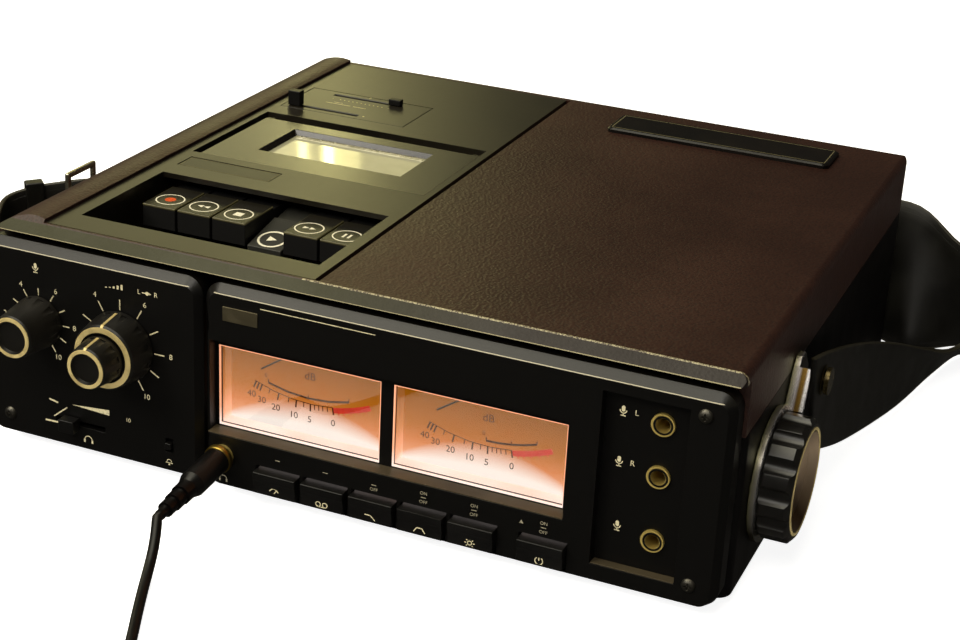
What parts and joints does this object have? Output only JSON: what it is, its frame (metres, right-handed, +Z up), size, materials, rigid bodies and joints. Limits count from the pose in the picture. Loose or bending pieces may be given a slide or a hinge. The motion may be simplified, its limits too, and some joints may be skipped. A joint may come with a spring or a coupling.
{
  "type": "portable cassette recorder",
  "caption": "Portable cassette recorder with a leather-grained cover, lit twin level meters, piano keys, a windowed lid, side lug knobs, a shoulder strap and a plugged-in lead.",
  "frame": {"origin": "centre of the footprint of case, knobs and strap on the table, under the feet", "axes": "X across the front from left to right, Y from the front panel to the back, Z up"},
  "size_m": [0.4758, 0.5904, 0.1165],
  "materials": {
    "black_plastic": "satin",
    "rubber": "matte",
    "board_laminate": "satin",
    "chassis_steel": "satin",
    "brass": "polished",
    "white_plastic": "gloss",
    "deck_paint": "satin",
    "key_plastic": "satin",
    "silver_key": "satin",
    "clear_window": "clear",
    "leather_cover": "grained",
    "amber_dial": "lit",
    "needle_paint": "matte",
    "bright_metal": "polished",
    "strap_leather": "smooth"
  },
  "bodies": {
    "case": {"bottom_case": "black_plastic", "feet": "rubber", "circuit_board": "board_laminate", "chassis_plate": "chassis_steel", "drive_motor": "chassis_steel", "drive_belt": "rubber", "deck_panel": "deck_paint", "key_rod": "chassis_steel", "counter_panel": "deck_paint", "top_cover": "leather_cover", "name_bar": "black_plastic", "left_control_block": "black_plastic", "right_meter_block": "black_plastic", "meter_housings": "white_plastic", "meter_dials": "amber_dial", "meter_lenses": "clear_window", "level_pots": "chassis_steel", "mic_jacks": "brass", "phones_jack": "brass", "front_screws": "chassis_steel", "right_strap": "strap_leather", "left_strap": "strap_leather", "lead_plug": "rubber", "lead_cord": "rubber", "lead_coil": "rubber", "lead_end_plug": "rubber"},
    "battery_door_body": {"battery_door": "black_plastic"},
    "flywheel_body": {"flywheel": "chassis_steel"},
    "motor_pulley_body": {"motor_pulley": "brass"},
    "supply_spindle_body": {"supply_spindle": "white_plastic"},
    "takeup_spindle_body": {"takeup_spindle": "white_plastic"},
    "head_bridge_body": {"head_bridge": "chassis_steel"},
    "pinch_roller_body": {"pinch_roller": "rubber"},
    "record_key_body": {"record_key": "key_plastic"},
    "rewind_key_body": {"rewind_key": "key_plastic"},
    "stop_key_body": {"stop_key": "key_plastic"},
    "play_key_body": {"play_key": "silver_key"},
    "forward_key_body": {"forward_key": "key_plastic"},
    "pause_key_body": {"pause_key": "key_plastic"},
    "lid_body": {"cassette_lid": "deck_paint", "lid_window": "clear_window"},
    "counter_slider_body": {"counter_slider": "black_plastic"},
    "counter_lever_body": {"counter_lever": "black_plastic"},
    "left_needle_body": {"left_needle": "needle_paint"},
    "right_needle_body": {"right_needle": "needle_paint"},
    "input_outer_knob_body": {"input_outer_knob": "black_plastic"},
    "input_inner_knob_body": {"input_inner_knob": "black_plastic"},
    "blend_knob_body": {"blend_knob": "black_plastic"},
    "phones_slider_body": {"phones_slider": "black_plastic"},
    "alarm_switch_body": {"alarm_switch": "black_plastic"},
    "meter_switch_body": {"meter_switch": "black_plastic"},
    "tape_switch_body": {"tape_switch": "black_plastic"},
    "filter_switch_body": {"filter_switch": "black_plastic"},
    "limiter_switch_body": {"limiter_switch": "black_plastic"},
    "lamp_switch_body": {"lamp_switch": "black_plastic"},
    "power_switch_body": {"power_switch": "black_plastic"},
    "right_bracket_body": {"right_bracket": "bright_metal"},
    "right_lug_knob_body": {"right_lug_knob": "black_plastic"},
    "left_bracket_body": {"left_bracket": "bright_metal"},
    "left_lug_knob_body": {"left_lug_knob": "black_plastic"}
  },
  "joints": [
    {"name": "battery_door_slide", "type": "slide", "parent": "case", "child": "battery_door_body", "axis": [0, 1, 0], "range_m": [0, 0.08]},
    {"name": "flywheel_spin", "type": "hinge", "parent": "case", "child": "flywheel_body", "pos_m": [-0.0565, -0.01125, 0.088], "axis": [0, 0, 1], "continuous": true},
    {"name": "motor_pulley_spin", "type": "hinge", "parent": "case", "child": "motor_pulley_body", "pos_m": [-0.1165, 0.01375, 0.05], "axis": [0, 0, 1], "continuous": true},
    {"name": "supply_spindle_spin", "type": "hinge", "parent": "case", "child": "supply_spindle_body", "pos_m": [-0.09775, 0.0053, 0.088], "axis": [0, 0, 1], "continuous": true},
    {"name": "takeup_spindle_spin", "type": "hinge", "parent": "case", "child": "takeup_spindle_body", "pos_m": [-0.05525, 0.0053, 0.088], "axis": [0, 0, 1], "continuous": true},
    {"name": "head_bridge_slide", "type": "slide", "parent": "case", "child": "head_bridge_body", "axis": [0, 1, 0], "range_m": [-0.005, 0]},
    {"name": "pinch_roller_spin", "type": "hinge", "parent": "head_bridge_body", "child": "pinch_roller_body", "pos_m": [-0.0565, -0.0186, 0.093], "axis": [0, 0, 1], "continuous": true},
    {"name": "record_key_press", "type": "hinge", "parent": "case", "child": "record_key_body", "pos_m": [-0.1217, -0.0402, 0.0955], "axis": [1, 0, 0], "range_deg": [0, 11], "stiffness_Nm_per_rad": 0.1, "springref_deg": -8.59},
    {"name": "rewind_key_press", "type": "hinge", "parent": "case", "child": "rewind_key_body", "pos_m": [-0.10335, -0.0402, 0.0955], "axis": [1, 0, 0], "range_deg": [0, 11], "stiffness_Nm_per_rad": 0.1, "springref_deg": -8.59},
    {"name": "stop_key_press", "type": "hinge", "parent": "case", "child": "stop_key_body", "pos_m": [-0.085, -0.0402, 0.0955], "axis": [1, 0, 0], "range_deg": [0, 11], "stiffness_Nm_per_rad": 0.1, "springref_deg": -8.59},
    {"name": "play_key_press", "type": "hinge", "parent": "case", "child": "play_key_body", "pos_m": [-0.06665, -0.0402, 0.0955], "axis": [1, 0, 0], "range_deg": [-11, 0]},
    {"name": "forward_key_press", "type": "hinge", "parent": "case", "child": "forward_key_body", "pos_m": [-0.0483, -0.0402, 0.0955], "axis": [1, 0, 0], "range_deg": [0, 11], "stiffness_Nm_per_rad": 0.1, "springref_deg": -8.59},
    {"name": "pause_key_press", "type": "hinge", "parent": "case", "child": "pause_key_body", "pos_m": [-0.02995, -0.0402, 0.0955], "axis": [1, 0, 0], "range_deg": [0, 11], "stiffness_Nm_per_rad": 0.1, "springref_deg": -8.59},
    {"name": "lid_hinge", "type": "hinge", "parent": "case", "child": "lid_body", "pos_m": [-0.0765, 0.04, 0.104], "axis": [-1, 0, 0], "range_deg": [0, 70]},
    {"name": "counter_slider_slide", "type": "slide", "parent": "case", "child": "counter_slider_body", "axis": [1, 0, 0], "range_m": [-0.033, 0]},
    {"name": "counter_lever_slide", "type": "slide", "parent": "case", "child": "counter_lever_body", "axis": [1, 0, 0], "range_m": [0, 0.033]},
    {"name": "left_needle_swing", "type": "hinge", "parent": "case", "child": "left_needle_body", "pos_m": [-0.0183, -0.1395, 0.0735], "axis": [0, -1, 0], "range_deg": [0, 102], "stiffness_Nm_per_rad": 0.0004},
    {"name": "right_needle_swing", "type": "hinge", "parent": "case", "child": "right_needle_body", "pos_m": [0.0651, -0.1395, 0.0735], "axis": [0, -1, 0], "range_deg": [0, 102], "stiffness_Nm_per_rad": 0.0004},
    {"name": "input_outer_turn", "type": "hinge", "parent": "case", "child": "input_outer_knob_body", "pos_m": [-0.1015, -0.1625, 0.062], "axis": [0, -1, 0], "range_deg": [-150, 150]},
    {"name": "input_inner_turn", "type": "hinge", "parent": "case", "child": "input_inner_knob_body", "pos_m": [-0.1015, -0.1755, 0.062], "axis": [0, -1, 0], "range_deg": [-150, 150]},
    {"name": "blend_turn", "type": "hinge", "parent": "case", "child": "blend_knob_body", "pos_m": [-0.1435, -0.1655, 0.065], "axis": [0, -1, 0], "range_deg": [-150, 150]},
    {"name": "phones_slider_slide", "type": "slide", "parent": "case", "child": "phones_slider_body", "axis": [1, 0, 0], "range_m": [-0.006, 0.014]},
    {"name": "alarm_switch_slide", "type": "slide", "parent": "case", "child": "alarm_switch_body", "axis": [0, 0, 1], "range_m": [-0.0016, 0.0016]},
    {"name": "meter_switch_rock", "type": "hinge", "parent": "case", "child": "meter_switch_body", "pos_m": [-0.0239, -0.15, 0.01375], "axis": [1, 0, 0], "range_deg": [-6, 6]},
    {"name": "tape_switch_rock", "type": "hinge", "parent": "case", "child": "tape_switch_body", "pos_m": [-0.0009, -0.15, 0.01375], "axis": [1, 0, 0], "range_deg": [-6, 6]},
    {"name": "filter_switch_rock", "type": "hinge", "parent": "case", "child": "filter_switch_body", "pos_m": [0.0221, -0.15, 0.01375], "axis": [1, 0, 0], "range_deg": [-6, 6]},
    {"name": "limiter_switch_rock", "type": "hinge", "parent": "case", "child": "limiter_switch_body", "pos_m": [0.0451, -0.15, 0.01375], "axis": [1, 0, 0], "range_deg": [-6, 6]},
    {"name": "lamp_switch_rock", "type": "hinge", "parent": "case", "child": "lamp_switch_body", "pos_m": [0.0681, -0.15, 0.01375], "axis": [1, 0, 0], "range_deg": [-6, 6]},
    {"name": "power_switch_rock", "type": "hinge", "parent": "case", "child": "power_switch_body", "pos_m": [0.099, -0.15, 0.01375], "axis": [1, 0, 0], "range_deg": [-6, 6]},
    {"name": "right_bracket_swing", "type": "hinge", "parent": "case", "child": "right_bracket_body", "pos_m": [0.177, -0.0985, 0.043], "axis": [1, 0, 0], "range_deg": [-30, 30], "deforming": ["right_strap"]},
    {"name": "right_lug_knob_turn", "type": "hinge", "parent": "case", "child": "right_lug_knob_body", "pos_m": [0.185, -0.0985, 0.043], "axis": [1, 0, 0], "continuous": true},
    {"name": "left_bracket_swing", "type": "hinge", "parent": "case", "child": "left_bracket_body", "pos_m": [-0.177, -0.0985, 0.043], "axis": [1, 0, 0], "range_deg": [-30, 30], "deforming": ["left_strap"]},
    {"name": "left_lug_knob_turn", "type": "hinge", "parent": "case", "child": "left_lug_knob_body", "pos_m": [-0.185, -0.0985, 0.043], "axis": [-1, 0, 0], "continuous": true}
  ],
  "couplings": [
    {"joint": "motor_pulley_spin", "follows": "flywheel_spin", "ratio": 5.3333}
  ]
}
